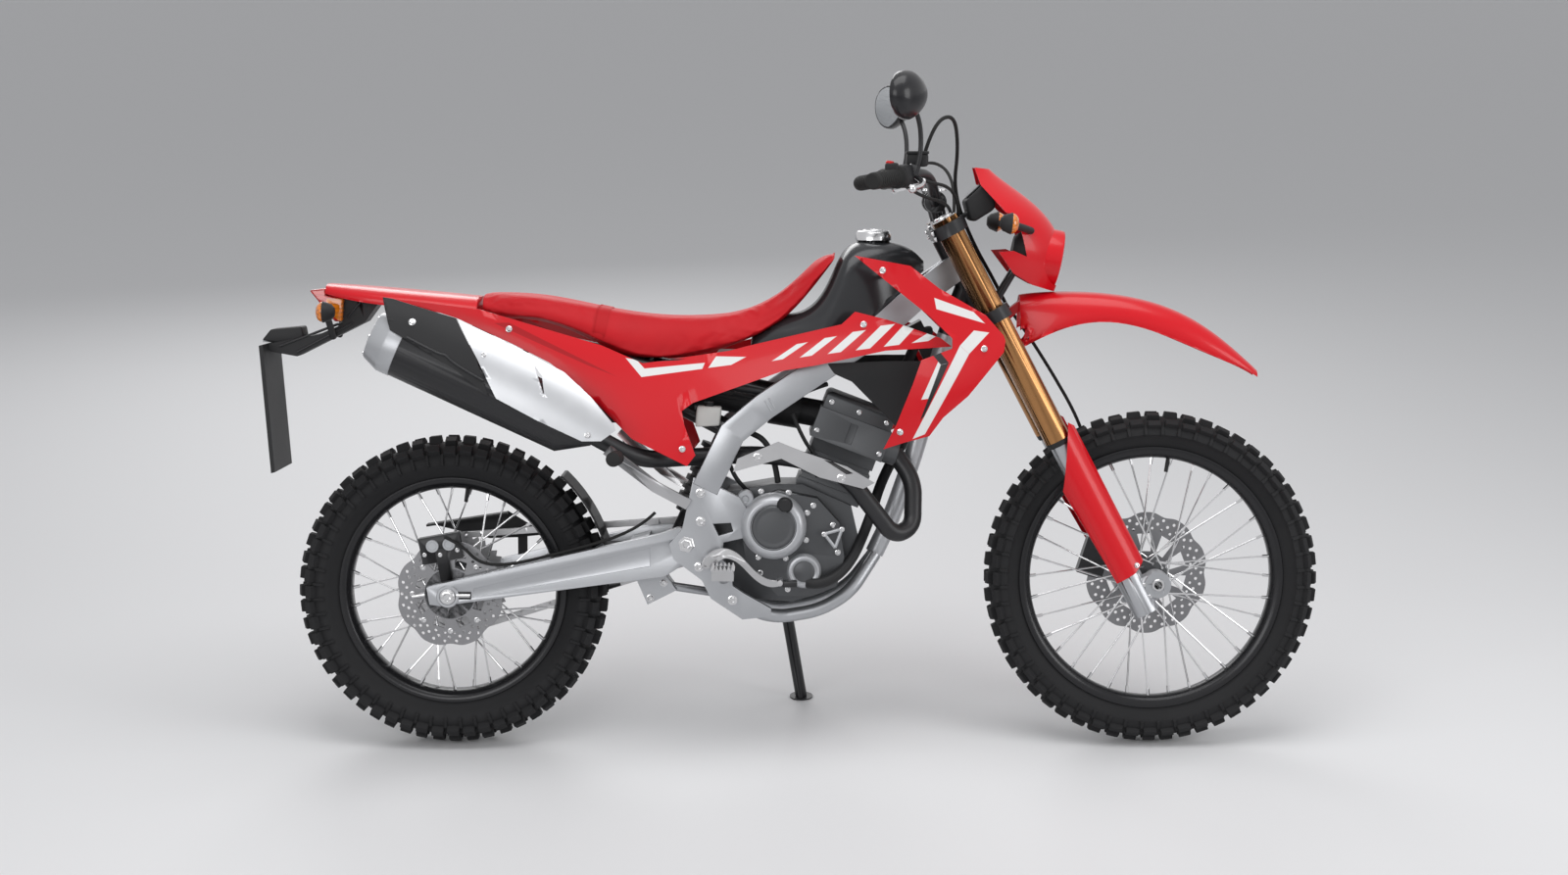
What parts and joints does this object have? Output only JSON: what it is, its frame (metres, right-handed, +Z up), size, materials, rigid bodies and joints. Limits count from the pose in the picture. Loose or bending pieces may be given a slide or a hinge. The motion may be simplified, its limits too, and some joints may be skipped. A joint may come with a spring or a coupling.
{
  "type": "dual sport motorcycle",
  "caption": "Dual sport motorcycle leaning on its side stand: block tread tyres on spoked wheels, long fork, open engine, high exhaust on the right, long seat and scoops beside the tank.",
  "frame": {"origin": "middle of the bounding box's base, on the floor that the machine is parked on", "axes": "+X forward along the machine, +Y to the rider's left, the side it leans to, +Z up"},
  "size_m": [2.1692, 0.8209, 1.422],
  "materials": {
    "tyre": "matt black rubber",
    "black_rim": "gloss black",
    "steel": "brushed",
    "bright_steel": "bright zinc",
    "frame_silver": "satin cast",
    "engine_grey": "satin dark grey",
    "black_metal": "satin black",
    "black_plastic": "grained black",
    "red_plastic": "gloss red",
    "tank_black": "gloss black",
    "seat_red": "vinyl",
    "fork_gold": "gold anodised",
    "lamp_glass": "clear lens",
    "smoked_lens": "smoked lens",
    "grip_rubber": "matt"
  },
  "bodies": {
    "chassis": {"chain": "steel", "frame_head": "black_metal", "frame_spar_left": "frame_silver", "frame_spar_right": "frame_silver", "pivot_plate_left": "frame_silver", "pivot_plate_right": "frame_silver", "cradle": "frame_silver", "subframe": "black_metal", "crankcase": "engine_grey", "cylinder": "engine_grey", "airbox": "black_plastic", "engine_cover_right": "engine_grey", "engine_cover_left": "engine_grey", "radiator": "black_metal", "header_pipe": "black_metal", "header_shield": "steel", "muffler": "black_metal", "muffler_shield": "frame_silver", "muffler_cover": "black_plastic", "swingarm_left": "frame_silver", "swingarm_right": "frame_silver", "swingarm_bridge": "frame_silver", "rear_shock": "black_metal", "shock_linkage": "frame_silver", "rear_axle": "bright_steel", "swingarm_guards": "black_plastic", "rear_caliper": "black_metal", "seat": "seat_red", "fuel_tank": "tank_black", "side_cover_left": "red_plastic", "side_cover_right": "red_plastic", "shroud_left": "red_plastic", "shroud_right": "red_plastic", "tail_fender": "red_plastic", "plate_holder": "black_plastic", "rear_lamps": "lamp_glass", "foot_pegs": "steel", "foot_levers": "steel"},
    "front_wheel": {"front_tyre": "tyre", "front_wheel": "black_rim", "front_disc": "steel"},
    "rear_wheel": {"rear_tyre": "tyre", "rear_wheel": "black_rim", "rear_disc": "steel", "rear_sprocket": "steel"},
    "side_stand": {"side_stand": "black_metal"},
    "steering": {"fork_clamps": "black_metal", "fork_outer_tubes": "fork_gold", "fork_sliders": "frame_silver", "fork_guards": "red_plastic", "front_axle": "bright_steel", "front_fender": "red_plastic", "headlight_mask": "red_plastic", "front_lamps": "smoked_lens", "instrument": "black_plastic", "handlebar": "black_metal", "bar_controls": "grip_rubber", "mirrors": "black_metal", "front_caliper": "black_metal", "brake_hose": "grip_rubber"}
  },
  "joints": [
    {"name": "steering_turn", "type": "hinge", "parent": "chassis", "child": "steering", "pos_m": [0.39047, -0.0528, 0.87442], "axis": [-0.4633, 0.1539, 0.8727], "range_deg": [-43, 43]},
    {"name": "front_wheel_spin", "type": "hinge", "parent": "steering", "child": "front_wheel", "pos_m": [0.73984, -0.14647, 0.34318], "axis": [0, 0.9848, -0.1736], "continuous": true},
    {"name": "rear_wheel_spin", "type": "hinge", "parent": "chassis", "child": "rear_wheel", "pos_m": [-0.70516, -0.15081, 0.31856], "axis": [0, 0.9848, -0.1736], "continuous": true},
    {"name": "side_stand_swing", "type": "hinge", "parent": "chassis", "child": "side_stand", "pos_m": [-0.02266, -0.00337, 0.26214], "axis": [0, 0.9829, 0.184], "range_deg": [0, 104]}
  ]
}
